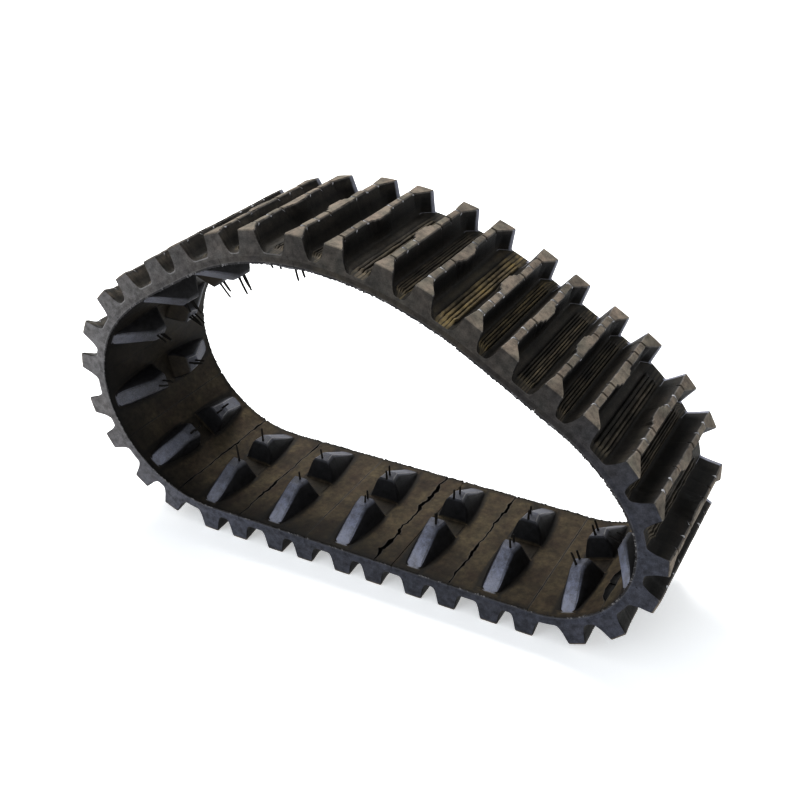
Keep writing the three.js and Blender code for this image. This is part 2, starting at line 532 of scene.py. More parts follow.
# A rib's section: places along it from slit to slit, with their share of its height
RIB_SHAPE = ((0.12, 0.55), (0.28, 0.95), (0.5, 1.0), (0.72, 0.95), (0.88, 0.55))
RIB_ENDS = (-50.5, 45.5)
SLIT_LOOK = (0.05, 0.0, 0.0, 0.0)


def rib_share(shift):
    """1 along the ribs, and 0 past their ends near a groove's mouths. shift moves both ends
    towards the near edge."""
    near, far = RIB_ENDS
    return smooth((OUTER_Y - near + shift) / 2.5) * smooth((far - shift - OUTER_Y) / 3)


def slit_line(profile, along, sink):
    profile.line(along, FLOOR - sink * rib_share(1.0), SLIT_LOOK)


def rib_lines(profile, left, right, count, rise, sink, look, coats, rng):
    """Ribs along a groove's floor between two lines, with slits between them but not at the
    ends. Each rib ends in a rounded knob at the near mouth. coats are the first and last rib's
    shares of the look."""
    mouth = smooth(1 - np.abs(OUTER_Y - RIB_ENDS[0] - 0.5) / 4)
    for rib in range(count):
        fade = rib_share(rng.uniform(-0.6, 1.4))
        tall = rise * rng.uniform(0.5, 1.2)
        coat = coats[0] + (coats[1] - coats[0]) * rib / (count - 1) + rng.uniform(-0.2, 0.2)
        coat = np.maximum(coat * (1 + wobble(rng, OUTER_Y, 0.7, (41, 19, 7))), 0.05)
        lean = rng.uniform(-0.07, 0.07)
        knob = 0.4 * rise * smooth(1 - np.abs(OUTER_Y - RIB_ENDS[0] - 2.2) / 3)
        uneven = wobble(rng, OUTER_Y, 0.2 * rise, (23, 9, 4))
        sway = wobble(rng, OUTER_Y, 0.2)
        if rib:
            share = rib / count
            slit = FLOOR - sink * rng.uniform(0.7, 1.2) * fade
            profile.line(left + (right - left) * share, slit, SLIT_LOOK)
        for offset, level in RIB_SHAPE:
            share = (rib + offset) / count + (sway + lean) * (0.5 - abs(offset - 0.5)) / count
            height = FLOOR + (tall * level + uneven + knob * level) * fade
            tone = [np.minimum(value * level * (coat + mouth), 1) for value in look]
            profile.line(left + (right - left) * share, height, tone)


def foot_line(centre, sign, reach):
    """Where a grouser's fillet runs out into the floor."""
    return centre + sign * (edge_reach(*reach, False) + wall_spread() + 1.7 + 0.6 * near_flare())


# Reach of the web and of the pad in the middle, before and after each grouser's centre
REACH_A = ((6.0, 6.0), (-1.4, 1.6))
REACH_B = ((5.0, 8.2), (-0.3, -0.3))
# How far the smooth band along the first grouser reaches into the wide groove
SMOOTH_BAND = 6.3
# The section whose wide groove has the yellowest dust
YELLOWEST = 13


def groove_yellow(number):
    """How yellow the dust in the wide groove of a section is: most on the right of the crown."""
    return 0.06 + 0.84 * math.exp(-(((number - YELLOWEST) / 0.7) ** 2))


def outer_profile(number):
    """The tread face of one outer piece, and the index of the line on its hinge."""
    rng = random.Random(100 + number)
    profile = Profile(OUTER_Y)
    tan = groove_yellow(number)
    wide_look = (0.24 + 0.5 * tan, tan, 0, 0.03)
    narrow_look = (0.3, 0.06 + 0.5 * tan, 0, 0.03)
    band_look = (0.16, 0.1 * tan, 0, 0.02)
    feet = [foot_line(GROUSER_A, sign, reach) for sign, reach in zip((-1, 1), REACH_A)]
    feet += [foot_line(GROUSER_B, sign, reach) for sign, reach in zip((-1, 1), REACH_B)]
    slit_line(profile, 0.0, 1.6)
    profile.line(0.5 * feet[0], FLOOR + 0.3 * rib_share(0.5), narrow_look)
    dusts = [at_section(table, number) for table in (DUSTY_WALLS, WALL_DUST)]
    grouser_lines(profile, GROUSER_A, *REACH_A, dusts, rng)
    band_end = np.maximum(feet[1].min() + SMOOTH_BAND, feet[1] + 0.6)
    for share in (0.25, 0.6):
        level = FLOOR + wobble(rng, OUTER_Y, 0.12)
        profile.line(feet[1] + (band_end - feet[1]) * share, level, band_look)
    slit_line(profile, band_end, 1.3)
    count = 3 if number % 3 == 2 else 2
    rib_lines(profile, band_end, OUTER_HINGE, count, 0.95, 1.3, wide_look, (0.3, 0.65), rng)
    hinge = len(profile.lines)
    slit_line(profile, OUTER_HINGE, 1.4)
    rib_lines(profile, OUTER_HINGE, feet[2], count, 1.15, 1.3, wide_look, (1.1, 0.75), rng)
    grouser_lines(profile, GROUSER_B, *REACH_B, dusts, rng)
    rib_lines(profile, feet[3], float(PITCH), 4, 0.8, 1.0, narrow_look, (0.4, 0.9), rng)
    slit_line(profile, float(PITCH), 1.6)
    return profile, hinge


# How much painted cool sheen and how much dust the belt's edges carry, and how scuffed they are at
# the grooves' mouths: at these sections round the loop, and in between
EDGE_SHEEN = ((0, 0.19), (1, 0.19), (4, 0.22), (6, 0.42), (8, 0.64), (10, 0.3), (12, 0.07))
EDGE_SHEEN += ((15, 0.07), (16.5, 0.2), (18, 0.24), (19, 0.19))
EDGE_DUST = ((0, 0.04), (5, 0.06), (7, 0.2), (14, 0.2), (16, 0.05), (19, 0.04))
MOUTH_SMUDGE = ((0, 0.08), (6, 0.1), (7, 1.0), (11, 0.9), (12, 0.1), (19, 0.08))


def outer_edge_look(number):
    """The belt's edges are bare, with a painted cool sheen and a light scuff at the foot of each
    groove.
    """

    def look(along, top, share):
        at = number + along / PITCH
        groove = top < FLOOR + 1.5 and share < 0.3
        smudge = at_section(MOUTH_SMUDGE, at) if groove else 0.0
        return (at_section(EDGE_DUST, at), 0.0, at_section(EDGE_SHEEN, at), smudge)

    return look


# An edge's points, as shares of the way from the tread's face to the pitch line
OUTER_EDGE = (0.06, 0.2, 0.42, 0.66, 0.86)
# The underside, with the hollow for the cord ply
HALF_UNDER = ((HALF_WIDTH, 0), (PLY_EDGE + 0.3, 0), (PLY_EDGE, PLY_COVER))
OUTER_UNDER = HALF_UNDER + tuple((-y, h) for y, h in reversed(HALF_UNDER))


def outer_piece(number):
    """The skins of one outer piece: one, or two halves at the open pivot."""
    start = hinge_distance(number) + OUTER_START
    profile, hinge = outer_profile(number)
    rng = random.Random(300 + number)
    rings = rings_of(profile, OUTER_EDGE, OUTER_UNDER, outer_edge_look(number), rng)
    parts = open_halves(rings, hinge) if number == OPEN_PIVOT - 1 else [rings]
    return [add_rings(Skin(start), part, FLOOR) for part in parts]


# ---- inner rubber


def inner_stations():
    """Places across the belt: closest at the lugs' feet, edges and corners and at the ends."""
    half = [0, 2.5, 5, 7.2, 7.9, LUG_FOOT, 9.3, 11.3, 13.3, LUG_TOP[0], 14.7, 16.7, 18.6]
    half += [20.5, 22.3, LUG_TOP[1], 23.8, *(26 + 2.2 * step for step in range(9)), 45.6, 47.6]
    half += [49.4, 50.8, RAMP_FOOT, 52.6, 53.8, 55, 56.2, 57, 57.5, 57.85, HALF_WIDTH]
    return np.array([-y for y in reversed(half) if y] + half)


INNER_Y = inner_stations()
INNER_SPAN = np.abs(INNER_Y)

# Looks of the liner, in the same terms
INNER_LOOK = (0.66, 0.1, 0.01, 0.02)
# The ramps carry a painted cool sheen, with some real scuff
RAMP_SHEEN_LOOK = (0.0, 0.0, 0.95, 0.35)
# The crowns' edges carry a painted highlight, with some scuff
LUG_EDGE_HIGHLIGHT_LOOK = (0.05, 0.0, 0.9, 0.75)
LUG_WALL_LOOK = (0.03, 0.0, 0.03, 0.0)
LUG_FOOT_LOOK = (0.08, 0.01, 0.0, 0.0)
BETWEEN_LUGS_LOOK = (0.2, 0.02, 0.0, 0.0)
HAIR_LOOK = (0.06, 0.0, 0.0, 0.0)
CRUMB_LOOK = (0.05, 0.0, 0.05, 0.05)
FLASH_LOOK = (0.08, 0.0, 0.06, 0.0)
TEAR_LOOK = (0.0, 0.0, 0.0, 0.0)
# The lugs that hang from the crown have dusty inner ends
DUSTY_LUG_LOOK = (0.3, 0.12, 0.0, 0.1)
DUSTY_LUGS = (7, 8, 9, 10, 11)
# The liner's share of its dust round the loop, as (section, share), with painted shade: least on
# the left haunch, where the inside of the loop lies in shadow
LINER_DUST_AND_SHADE = ((0.5, 0.98), (1.5, 0.86), (4, 0.86), (5, 0.94), (6, 0.78), (7, 0.25))
LINER_DUST_AND_SHADE += ((9, 0.12), (12, 0.4), (16, 0.8), (17.6, 1.15), (18.5, 0.98))
# What is left of that at the near edge
NEAR_DUST = ((1, 0.85), (2, 0.6), (4, 0.3), (9, 0.3), (16, 0.8), (18, 1.0))
# The near ramps' share of their painted cool sheen round the loop, with painted shade: least on the
# left haunch and the crown, where the inside of the loop lies in shadow
RAMP_SHEEN = ((1, 0.95), (3, 0.95), (4, 0.8), (5, 0.55), (6, 0.42))
RAMP_SHEEN += ((7, 0.24), (12, 0.3), (17, 0.8), (18, 0.95))

# Parting lines that are torn open and the tears' widths, and the one with a hole beside it. A
# line has the number of the piece that starts there
TEARS = {2: 0.9, 3: 1.5, 5: 0.8, 6: 0.6}
CLOSED_TEAR = 0.1
HOLE = {"line": 18, "middle": -27, "half": 23, "width": 11}


def tear_edges(line):
    """How far each side of a parting line stands back from it, and its flash stands up."""
    line = (line - 1) % PITCHES + 1
    rng = random.Random(f"parting line {line}")
    width = TEARS.get(line, CLOSED_TEAR)
    count = len(INNER_Y)
    swell = smooth(0.35 + wobble(rng, INNER_Y, 1.3, (61, 33, 14)))
    wander = wobble(rng, INNER_Y, 1.1 * width, (31, 14, 7)) * smooth((56 - INNER_SPAN) / 8)
    width = width * (0.4 + 0.9 * swell * smooth((56 - INNER_SPAN) / 12))
    back = width * (0.55 + jagged(rng, count, 0.5)) - wander
    ahead = width * (0.55 + jagged(rng, count, 0.5)) + wander
    flash = (0.3 + 0.45 * width) * jagged(rng, count, 1) * (jagged(rng, count, 1) > 0.4)
    if line == HOLE["line"]:
        open_share = smooth(1.7 - 1.7 * np.abs(INNER_Y - HOLE["middle"]) / HOLE["half"])
        ahead = ahead + open_share * (HOLE["width"] * 0.6 + jagged(rng, count, 2.6))
        back = back + open_share * (0.4 + jagged(rng, count, 1.6))
    edge = INNER_SPAN > HALF_WIDTH - 1.2
    back, ahead = (np.where(edge, CLOSED_TEAR, side) for side in (back, ahead))
    return back, ahead, np.where(edge, 0.0, flash)


# Lines over a crown's rounded edge: how far in and how low on the lug, how far in from its foot
# between the lugs, and whether the line is on the edge
ROUND_CROWN = ((-0.12, 1.0, 3.3, False), (0.3, 0.32, 3.6, True), (1.1, 0.0, 4, False))


def ridge(span):
    """The drive lug's height over the inner face: a steep inner end, a flat top and a ramp."""
    return np.interp(span, (LUG_FOOT, *LUG_TOP, RAMP_FOOT), (0, LUG_HEIGHT, LUG_HEIGHT, 0))


def inner_profile(number):
    """The inner face of one piece, with its two drive lugs, and the index of its hinge's line."""
    rng = random.Random(500 + number)
    profile = Profile(INNER_Y, LUG_CENTRE)
    y, span = INNER_Y, INNER_SPAN
    _, ahead, flash_a = tear_edges(number)
    back, _, flash_b = tear_edges(number + 1)
    edge_drop = 0.8 * smooth((span - HALF_WIDTH + 0.9) / 0.9) ** 2
    tall = ridge(span)
    foot = np.interp(span, *zip(*FOOT_HALF))
    crown = np.interp(span, *zip(*CROWN_HALF))
    soft = np.clip(tall / 3, 0.05, 1)
    lug = tall > 0.01
    # Painted shade: the floor right beside the lugs' feet keeps only a quarter of its dust
    lug_foot_shade = 1 - 0.75 * smooth((span - 5) / 4) * smooth((57 - span) / 3)
    least = at_section(NEAR_DUST, number)
    even = least + (1 - least) * smooth((y + 56) / 36)
    even = even * (1 - 0.5 * smooth((span - 53) / 3))
    pedestal = PEDESTAL * smooth((LUG_FOOT - span) / 2.5)

    def face(along, dip=0.0):
        return INNER_FACE + edge_drop - wobble(rng, y + along, 0.1) - dip

    def liner_dust_and_shade(along, share=1.0):
        """The inner face's look at a place along the piece, from its dust and painted shade round the
        loop.
        """
        dust = at_section(LINER_DUST_AND_SHADE, number - 0.5 + np.mean(along) / PITCH)
        return [value * even * dust * share for value in INNER_LOOK]

    def floor_line(along, share=1.0, dip=0.0, scuff=0.0):
        look = liner_dust_and_shade(along, share)
        look[3] = look[3] + scuff * look[0]
        profile.line(along, face(np.mean(along), dip), look)

    def lug_side(sign):
        """One side of both lugs, from the foot up to the crown: along, height and look."""
        steps = []
        for share in (-0.12, -0.04, 0.05, 0.33, 0.62, 0.84):
            rise = np.clip(share, 0, 1)
            reach = foot + (crown - foot) * rise + 1.1 * soft * math.sin(math.pi * rise)
            reach = np.where(lug, reach - 6 * np.minimum(share, 0), foot - 3 * share)
            rough = 0.3 * smooth(1 - abs(share) / 0.2)
            low = pedestal if share > 0.02 else 0
            height = face(share) - np.maximum(tall * rise + rough * lug, low)
            look = LUG_WALL_LOOK if share > 0 else LUG_FOOT_LOOK
            between = pedestal_look(span, liner_dust_and_shade(LUG_CENTRE))
            tone = [a * lug + b * (1 - lug) for a, b in zip(look, between)]
            steps.append((LUG_CENTRE + sign * reach, height, tone))
        for inward, low, between, edge in ROUND_CROWN:
            reach = np.where(lug, crown - inward * soft, foot - between)
            height = face(1.0) - np.maximum(tall - low * soft, pedestal)
            tone = crown_look(number, edge, liner_dust_and_shade(LUG_CENTRE))
            steps.append((LUG_CENTRE + sign * reach, height, tone))
        return steps

    profile.line(ahead, INNER_FACE + edge_drop - flash_a, TEAR_LOOK)
    floor_line(ahead + 0.35 + 0.3 * flash_a, 0.9, 0.7 * flash_a, 0.4)
    floor_line(ahead + 1.0 + 0.6 * flash_a, 1.0, 0.15 * flash_a)
    left = LUG_CENTRE - foot
    for share in (0.3, 0.55, 0.8):
        floor_line(ahead + 1.2 + (left - 2.2 - ahead) * share)
    floor_line(ahead + 1.2 + (left - 2.2 - ahead) * 0.94, lug_foot_shade)
    for step in lug_side(-1):
        profile.line(*step)
    height = face(1.2) - np.maximum(tall + 0.05, pedestal)
    profile.line(LUG_CENTRE, height, crown_look(number, False, liner_dust_and_shade(LUG_CENTRE)))
    for step in reversed(lug_side(1)):
        profile.line(*step)
    right = LUG_CENTRE + foot + 1.5
    floor_line(right + (INNER_HINGE - right) * 0.4, lug_foot_shade)
    hinge = len(profile.lines)
    floor_line(INNER_HINGE)
    end = PITCH - back
    for share in (0.2, 0.4, 0.6, 0.8):
        floor_line(INNER_HINGE + (end - 1.6 - INNER_HINGE) * share)
    floor_line(end - 1.0 - 0.6 * flash_b, 1.0, 0.15 * flash_b)
    floor_line(end - 0.35 - 0.3 * flash_b, 0.9, 0.7 * flash_b, 0.4)
    profile.line(end, INNER_FACE + edge_drop - flash_b, TEAR_LOOK)
    return profile, hinge


def pedestal_look(span, face_look):
    """Between the lugs of a pair the rubber is smooth and shiny; elsewhere it is the inner face."""
    middle = smooth((LUG_FOOT - span) / 1.5)
    return [a * (1 - middle) + b * middle for a, b in zip(face_look, BETWEEN_LUGS_LOOK)]


def crown_look(number, edge, face_look):
    """Along a lug's crown: the near ramps have a painted cool sheen, the far ones less of it, and
    their edges are scuffed and carry a painted highlight. The inner ends are as dark as the walls, or
    dusty."""
    span, far = INNER_SPAN, INNER_Y > 0
    lug = smooth((span - LUG_FOOT) / 0.5) * smooth((RAMP_FOOT + 0.5 - span) / 0.5)
    steep = smooth((LUG_TOP[1] - 1 - span) / 4)
    end = smooth((LUG_TOP[0] - span) / 0.8)
    near = at_section(RAMP_SHEEN, number)
    # Painted sheen: the near ramps grow lighter towards their foot, in their sheen and their scuff
    ramp_foot_sheen = np.where(far, 1.0, 1 + 1.7 * near * smooth((span - 34) / 16))
    near = near * (0.6 + 0.62 * smooth((span - 28) / 22))
    strength = np.where(far, 0.3, near) * (1 - 0.35 * steep)
    ramp = LUG_EDGE_HIGHLIGHT_LOOK if edge else RAMP_SHEEN_LOOK
    inner = DUSTY_LUG_LOOK if number in DUSTY_LUGS else LUG_WALL_LOOK
    # A painted highlight along the far lugs' crown edges, and less scuff on the near ones
    scuff_and_highlight = np.where(far & (span > LUG_TOP[0] + 2), 1.55, 0.5) if edge else 1.0
    shares = (1.0, 1.0, strength, scuff_and_highlight * ramp_foot_sheen)
    over = [a * share * (1 - end) + b * end for a, share, b in zip(ramp, shares, inner)]
    between = pedestal_look(span, face_look)
    return [a * (1 - lug) + b * lug for a, b in zip(between, over)]


# An edge's points, as shares of the way from the inner face to the pitch line
INNER_EDGE = (0.1, 0.35, 0.6, 0.85)
INNER_UNDER = tuple((y, -h) for y, h in OUTER_UNDER)
# The way down into a tear: distances in from the pitch line, and shares of the tear's width
TEAR_ROWS = ((4.55, 0.95), (3.4, 0.8), (2.2, 0.6), (1.7, 0.0))
# How far the trim on the edges keeps off the open pivot
OPEN_ROOM = 0.4


def inner_edge_look(number):
    """As outer_edge_look, for pieces that start about a quarter of a pitch earlier."""

    def look(along, _, share):
        at = number + along / PITCH - 0.25
        scuff = 0.2 if share < 0.2 else 0.0
        # The edges' painted cool sheen, as on the outer pieces
        return (at_section(EDGE_DUST, at), 0.0, at_section(EDGE_SHEEN, at), scuff)

    return look


def with_tear_rows(rings, first, last):
    """Adds rings down into the tear at a parting line, to a flat end on the line."""

    def stepped(index, line):
        along, across, height, finish, centre = (column[index] for column in rings)
        look = np.broadcast_to(TEAR_LOOK, finish.shape)
        return [
            (line + (along - line) * share, across, np.maximum(height, -depth), look, centre)
            for depth, share in TEAR_ROWS
        ]

    rows = list(zip(*rings))
    if first:
        rows = stepped(0, 0.0)[::-1] + rows
    if last:
        rows = rows + stepped(-1, float(PITCH))
    return [np.array(column, float) for column in zip(*rows)]


# Sections whose lugs have three long hairs each, and those with one, of these lengths
LONG_HAIRS = (7, 8, 9, 10)
SINGLE_HAIRS = {4: (7.5, 9.5), 5: (12.5, 15)}
HAIR_RADIUS = (0.68, 0.82)
# A hair's taper from its foot to its tip
HAIR_TAPER = (1.5, 1.05, 1, 0.98, 0.97, 0.95, 0.8)


def hair_places(number):
    """Places of the hairs across each lug of a pair, and their shortest and longest."""
    if number in LONG_HAIRS:
        return (15, 18.6, 22.2), (7, 14)
    if number in SINGLE_HAIRS:
        return (16.5,), SINGLE_HAIRS[number]
    return (15, 20.5), (6.5, 10.5)


def add_vent_hairs(skin, rng, number):
    """Thin hairs of rubber on each drive lug, where the mould was vented."""
    spots, lengths = hair_places(number)
    for side in (-1, 1):
        for spot in spots:
            offset, across = rng.uniform(-1.8, 1.8), spot + rng.uniform(-1, 1)
            length = rng.uniform(*lengths)
            lean, sway = rng.uniform(-0.1, 0.1), rng.uniform(-0.1, 0.1)
            bend = rng.uniform(-0.1, 0.1)
            step = np.linspace(0, 1, len(HAIR_TAPER))
            out = step * length
            along = LUG_CENTRE + offset + lean * out + bend * out * step
            aside = side * across + sway * out + 0.5 * bend * out * step
            path = np.stack([along, aside, INNER_FACE - LUG_HEIGHT + 0.8 - out], -1)
            radii = rng.uniform(*HAIR_RADIUS) * np.array(HAIR_TAPER)
            add_tube(skin, path, radii, HAIR_LOOK)


# The crumbs on each edge of a piece, and how closely the flash's points follow along it
CRUMBS = 7
FLASH_STEP = 0.75
# A crumb is an eight-sided lump: two points on each axis
CRUMB_FACES = [(0, 2, 4), (2, 1, 4), (1, 3, 4), (3, 0, 4), (2, 0, 5), (1, 2, 5), (3, 1, 5), (0, 3, 5)]


def add_crumbs(skin, rng, side, first, last):
    """Small torn lumps of rubber along one edge of the inner face."""
    for _ in range(CRUMBS):
        along = rng.uniform(first, last)
        size = rng.uniform(0.25, 0.85)
        across = side * (HALF_WIDTH - rng.uniform(-0.3, 0.4))
        height = INNER_FACE + rng.uniform(-0.4, 0.3)
        points = []
        for axis in range(3):
            for sign in (1, -1):
                point = [rng.uniform(-0.25, 0.25) * size for _ in range(3)]
                point[axis] += sign * size * rng.uniform(0.5, 1.3)
                points.append(point)
        points = np.array(points) + (along, across, height)
        skin.add(*points.T, CRUMB_LOOK, CRUMB_FACES)


def add_edge_flash(skin, rng, side, first, last):
    """A thin ragged lip of flash along an edge of the inner face."""
    along = np.arange(first + 0.4, last - 0.4, FLASH_STEP)
    count = len(along)
    rough = jagged(rng, count, 1.0)
    tall = np.where(rough > 0.45, (rough - 0.4) * 1.5, 0.02)
    tall = tall * (0.45 + 0.55 * jagged(rng, count, 1.0))
    out = wobble(rng, along, 0.25) + jagged(rng, count, 0.3)
    base_h = INNER_FACE + 0.85
    # Its section: two points in the belt's rounded edge, and two at the ragged lip
    across = [-0.35 + 0 * out, 0.02 + 0 * out, 0.1 + out, -0.1 + out]
    height = [0 * tall, 0.3 + 0 * tall, -0.65 - tall, -0.75 - tall]
    across, height = side * (HALF_WIDTH + np.stack(across, -1)), base_h + np.stack(height, -1)
    spread = np.repeat(along[:, None], 4, 1)
    cluster = smooth(4 * wobble(rng, along, 1.0, (43, 19, 11)))
    finish = np.tile(FLASH_LOOK, (4 * count, 1))
    finish[:, 3] = np.repeat(0.1 + 0.8 * cluster * (jagged(rng, count, 1.0) > 0.7), 4)
    skin.add(spread, across, height, finish, loft_faces(count, 4))


def inner_piece(number):
    """The skins of one inner piece: one, or two halves at the open pivot."""
    start = hinge_distance(number) + INNER_START
    profile, hinge = inner_profile(number)
    rng = random.Random(700 + number)
    rings = rings_of(profile, INNER_EDGE, INNER_UNDER, inner_edge_look(number), rng)
    parts, spans = [rings], [(0.0, float(PITCH))]
    if number == OPEN_PIVOT - 1:
        parts = open_halves(rings, hinge)
        spans = [(0.0, INNER_HINGE - OPEN_ROOM), (INNER_HINGE + OPEN_ROOM, float(PITCH))]
    skins = []
    for part, (low, high) in zip(parts, spans):
        part = with_tear_rows(part, low == 0, high == PITCH)
        skin = add_rings(Skin(start), part, INNER_FACE)
        for side in (-1, 1):
            add_edge_flash(skin, rng, side, low, high)
            add_crumbs(skin, rng, side, low + 1, high - 1)
        if low == 0:
            add_vent_hairs(skin, rng, number)
        skins.append(skin)
    return skins


# ---- materials


class Nodes:
    """A short way to write a material's nodes."""

    def __init__(self, name):
        self.material = bpy.data.materials.new(name)
        self.material.use_nodes = True
        self.tree = self.material.node_tree
        self.shader = self.tree.nodes["Principled BSDF"]

    def add(self, kind, inputs=(), **settings):
        node = self.tree.nodes.new(kind)
        for key, value in settings.items():
            setattr(node, key, value)
        for key, value in dict(inputs).items():
            self.set(node, key, value)
        return node

    def set(self, node, key, value):
        if isinstance(value, bpy.types.NodeSocket):
            self.tree.links.new(value, node.inputs[key])
        else:
            node.inputs[key].default_value = value

    def attribute(self, name):
        return self.add("ShaderNodeAttribute", attribute_name=name)

    def noise(self, vector, scale, detail=4.0, roughness=0.6, stretch=None):
        if stretch:
            moved = self.add("ShaderNodeMapping", {"Vector": vector, "Scale": stretch})
            vector = moved.outputs[0]
        settings = {"Vector": vector, "Scale": scale, "Detail": detail, "Roughness": roughness}
        return self.add("ShaderNodeTexNoise", settings).outputs["Fac"]

    def math(self, operation, a, b=0.0, clamp=False):
        node = self.add("ShaderNodeMath", {0: a, 1: b}, operation=operation, use_clamp=clamp)
        return node.outputs[0]

    def ramp(self, value, low, high, to_low=0.0, to_high=1.0):
        inputs = {"Value": value, 1: low, 2: high, 3: to_low, 4: to_high}
        return self.add("ShaderNodeMapRange", inputs, clamp=True).outputs[0]

    def uneven(self, share, noise, low, high, least=0.0, most=1.0, clamp=True):
        """A share that is less where the noise is low and more where it is high."""
        return self.math("MULTIPLY", share, self.ramp(noise, low, high, least, most), clamp=clamp)

    def mix(self, share, a, b):
        node = self.add("ShaderNodeMix", data_type="RGBA")
        self.set(node, 0, share)
        self.set(node, 6, a)
        self.set(node, 7, b)
        return node.outputs[2]

    def bump(self, height, strength, distance, normal=None):
        inputs = {"Height": height, "Strength": strength, "Distance": distance}
        if normal:
            inputs["Normal"] = normal
        return self.add("ShaderNodeBump", inputs).outputs[0]


# Bloom and painted sheen where there is dust as well, scuffed rubber that also stands for painted
# highlights, and the light crumbs
NEUTRAL = (0.25, 0.243, 0.25, 1)
SCUFFED = (0.36, 0.35, 0.35, 1)
TORN_LIGHT = (0.52, 0.52, 0.54, 1)


def rubber_material(name, deep, pale, warm, olive, yellow, bloom_and_sheen_colour):
    """Moulded rubber, deep or pale in patches, under warm or olive dust, yellow dust, cool bloom with
    painted sheen and scuffs with painted highlights, as much of each as the mesh's finish says.
    Its belt coordinates place the noise."""
    n = Nodes(name)
    belt = n.attribute("belt").outputs["Vector"]
    finish = n.attribute("finish")
    looks = n.add("ShaderNodeSeparateColor", {"Color": finish.outputs["Color"]})
    dust, tan, bloom_and_sheen = looks.outputs[:3]
    scuff = finish.outputs["Alpha"]

    broad = n.noise(belt, 0.045, 4, 0.55)
    drift = n.noise(belt, 0.08, 4, 0.6, (1.0, 0.7, 1.0))
    patch = n.noise(belt, 0.22, 6, 0.65)
    fine = n.noise(belt, 1.6, 5, 0.7)
    grain = n.noise(belt, 5.0, 3, 0.7)
    streak = n.noise(belt, 0.9, 4, 0.6, (1.0, 0.12, 1.0))

    colour = n.mix(n.ramp(patch, 0.35, 0.7), deep, pale)
    warm_share = n.uneven(dust, patch, 0.3, 0.64, 0.5, 1.25, clamp=False)
    warm_share = n.uneven(warm_share, fine, 0.25, 0.6, 0.55, 1.1)
    warm_share = n.uneven(warm_share, broad, 0.32, 0.66, 0.6, 1.15)
    colour = n.mix(warm_share, colour, n.mix(n.ramp(drift, 0.32, 0.7), warm, olive))
    tan_share = n.uneven(tan, broad, 0.35, 0.65, 0.35, 1.2, clamp=False)
    tan_share = n.uneven(tan_share, streak, 0.3, 0.62, 0.4, 1.1)
    colour = n.mix(tan_share, colour, yellow)
    # Cool bloom with painted sheen, greyer where there is dust
    bloom_and_sheen_share = n.uneven(bloom_and_sheen, fine, 0.3, 0.62, 0.5, 1.15, clamp=False)
    bloom_and_sheen_share = n.uneven(bloom_and_sheen_share, patch, 0.32, 0.62, 0.42, 1.12)
    grey = n.mix(n.math("MULTIPLY", dust, 5.0, clamp=True), bloom_and_sheen_colour, NEUTRAL)
    colour = n.mix(bloom_and_sheen_share, colour, grey)
    # Scuffs, which also carry the painted highlights, and torn light rubber
    colour = n.mix(n.uneven(scuff, grain, 0.36, 0.66), colour, SCUFFED)
    colour = n.mix(n.ramp(scuff, 1.0, 1.5), colour, TORN_LIGHT)

    rough = n.math("ADD", n.ramp(patch, 0.3, 0.7, 0.42, 0.55), n.math("MULTIPLY", dust, 0.28))
    rough = n.math("ADD", rough, n.ramp(grain, 0.3, 0.7, -0.05, 0.07))
    pits = n.bump(grain, 0.35, 0.00012)
    bumps = n.bump(fine, 0.5, 0.00025, pits)
    relief = n.bump(streak, 0.3, 0.0003, bumps)
    n.set(n.shader, "Base Color", colour)
    n.set(n.shader, "Roughness", rough)
    n.set(n.shader, "Normal", relief)
    n.shader.inputs["Specular IOR Level"].default_value = 0.13
    return n.material


def cord_material():
    """Pale twisted cords, side by side across the ply."""
    n = Nodes("tension_cord")
    at = n.add("ShaderNodeTexCoord").outputs["Object"]
    settings = {"Vector": at, "Scale": 160.0, "Distortion": 0.6, "Detail": 2.0}
    lines = n.add("ShaderNodeTexWave", settings, bands_direction="Y").outputs["Fac"]
    n.set(n.shader, "Base Color", n.mix(lines, (0.2, 0.16, 0.11, 1), (0.5, 0.44, 0.34, 1)))
    n.set(n.shader, "Roughness", 0.85)
    n.set(n.shader, "Normal", n.bump(lines, 0.6, 0.0004))
    return n.material


def floor_material():
    """A pale floor that glows a little, so that it stays near white under soft light."""
    n = Nodes("pale_floor")
    n.set(n.shader, "Base Color", (0.88, 0.885, 0.89, 1))
    n.set(n.shader, "Emission Color", (0.985, 0.995, 1, 1))
    n.set(n.shader, "Emission Strength", 0.48)
    n.set(n.shader, "Roughness", 0.7)
    return n.material


# ---- the track

# Colours of clean rubber, and of the cool bloom with painted sheen on it
CLEAN = {"deep": (0.0035, 0.0035, 0.0037, 1), "pale": (0.0095, 0.0092, 0.009, 1)}
BLOOM_AND_SHEEN = (0.247, 0.274, 0.385, 1)

outer_rubber = rubber_material(
    "tread_rubber",
    **CLEAN,
    warm=(0.3, 0.244, 0.195, 1),
    olive=(0.2, 0.185, 0.148, 1),
    yellow=(0.33, 0.25, 0.11, 1),
    bloom_and_sheen_colour=BLOOM_AND_SHEEN,
)
inner_rubber = rubber_material(
    "liner_rubber",
    **CLEAN,
    warm=(0.088, 0.06, 0.042, 1),
    olive=(0.18, 0.143, 0.085, 1),
    yellow=(0.13, 0.1, 0.055, 1),
    bloom_and_sheen_colour=BLOOM_AND_SHEEN,
)
cords = cord_material()


def section_name(number):
    return f"section_{(number - 1) % PITCHES + 1:02d}"


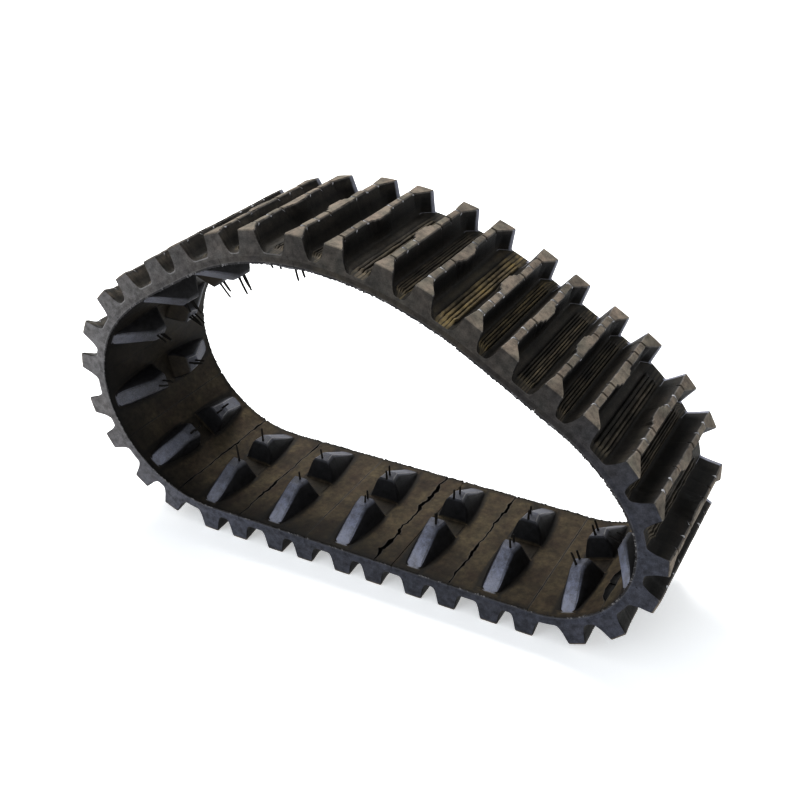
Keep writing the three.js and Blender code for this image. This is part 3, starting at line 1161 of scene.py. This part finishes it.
def join_to_bodies(pieces, number, node):
    """A whole piece is baked where it is built, and its section's part is hidden. At the open pivot
    it is two halves, each attached to its own section's body, with that section's part hidden.
    """
    hinge = hinge_distance(number + 1)
    if len(pieces) == 1:
        start, end = (frame_point(hinge + reach) for reach in HINGE_REACH)
        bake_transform(pieces[0])
        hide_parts(f"{node}_{number:02d}")
        return
    for half, of_section in zip(pieces, (number, number + 1)):
        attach(half, section_name(of_section))
        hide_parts(f"{node}_{of_section:02d}")


def piece_names(kind, number, count):
    """The halves at the open pivot have names of their own."""
    if count == 1:
        return [f"{kind}_{number:02d}"]
    return [f"{kind}_{number:02d}_before_joint", f"{kind}_{number:02d}_after_joint"]


def build_track():
    for number in range(1, PITCHES + 1):
        for kind, skins, material, slot, node in (
            ("outer_tread", outer_piece(number), outer_rubber, "tread_rubber", "tread_section"),
            ("inner_liner", inner_piece(number), inner_rubber, "liner_rubber", "drive_lug_section"),
        ):
            names = piece_names(kind, number, len(skins))
            made = [skin.build(name, material, slot) for skin, name in zip(skins, names)]
            join_to_bodies(made, number, node)
        ply = frame["nodes"][f"cord_ply_{number:02d}"]
        ply.data.materials.clear()
        ply.data.materials.append(cords)


# ---- floor, light and camera

# The camera, in metres, with its lens and sensor in millimetres
CAMERA_AT = (0.34095, -0.54382, 0.49389)
CAMERA_AZIMUTH = math.radians(27.31)
CAMERA_ELEVATION = math.radians(32.91)
CAMERA_ROLL = math.radians(0.68)
CAMERA_LENS = 46.55
CAMERA_SENSOR = 36
CAMERA_SHIFT = (-0.075, 0.0575)
FLOOR_REACH = 12


def build_camera():
    camera = bpy.data.objects.new("camera", bpy.data.cameras.new("camera"))
    bpy.context.scene.collection.objects.link(camera)
    level = math.cos(CAMERA_ELEVATION)
    x, y = math.sin(CAMERA_AZIMUTH) * level, -math.cos(CAMERA_AZIMUTH) * level
    back = Vector((x, y, math.sin(CAMERA_ELEVATION)))
    turn = back.to_track_quat("Z", "Y").to_matrix().to_4x4() @ Matrix.Rotation(-CAMERA_ROLL, 4, "Z")
    camera.matrix_world = Matrix.Translation(CAMERA_AT) @ turn
    camera.data.sensor_width = CAMERA_SENSOR
    camera.data.lens = CAMERA_LENS
    camera.data.shift_x, camera.data.shift_y = CAMERA_SHIFT
    bpy.context.scene.camera = camera


def area_light(name, at, towards, size, power, colour):
    light = bpy.data.objects.new(name, bpy.data.lights.new(name, "AREA"))
    light.data.size = size
    light.data.energy = power
    light.data.color = colour
    light.location = at
    light.rotation_euler = (Vector(towards) - Vector(at)).to_track_quat("-Z", "Y").to_euler()
    bpy.context.scene.collection.objects.link(light)


def build_stage():
    """The floor, the world behind it, two soft lights and the view's tones."""
    scene = bpy.context.scene
    mesh = bpy.data.meshes.new("floor")
    corners = [(x * FLOOR_REACH, y * FLOOR_REACH, 0) for x, y in ((-1, -1), (1, -1), (1, 1), (-1, 1))]
    mesh.from_pydata(corners, [], [(0, 1, 2, 3)])
    mesh.materials.append(floor_material())
    floor = bpy.data.objects.new("floor", mesh)
    scene.collection.objects.link(floor)
    world = bpy.data.worlds.new("studio")
    world.use_nodes = True
    background = world.node_tree.nodes["Background"]
    background.inputs["Color"].default_value = (0.95, 0.975, 1.0, 1)
    background.inputs["Strength"].default_value = 0.72
    scene.world = world
    scene.view_settings.view_transform = "Standard"
    scene.view_settings.gamma = 0.8
    middle = (0, 0, 0.1)
    area_light("key", (-0.9, 0.9, 1.8), middle, 1.0, 46, (1.0, 0.985, 0.96))
    area_light("side", (-0.8, -1.6, 0.9), middle, 1.2, 9, (0.86, 0.92, 1.0))


build_track()
build_stage()
build_camera()
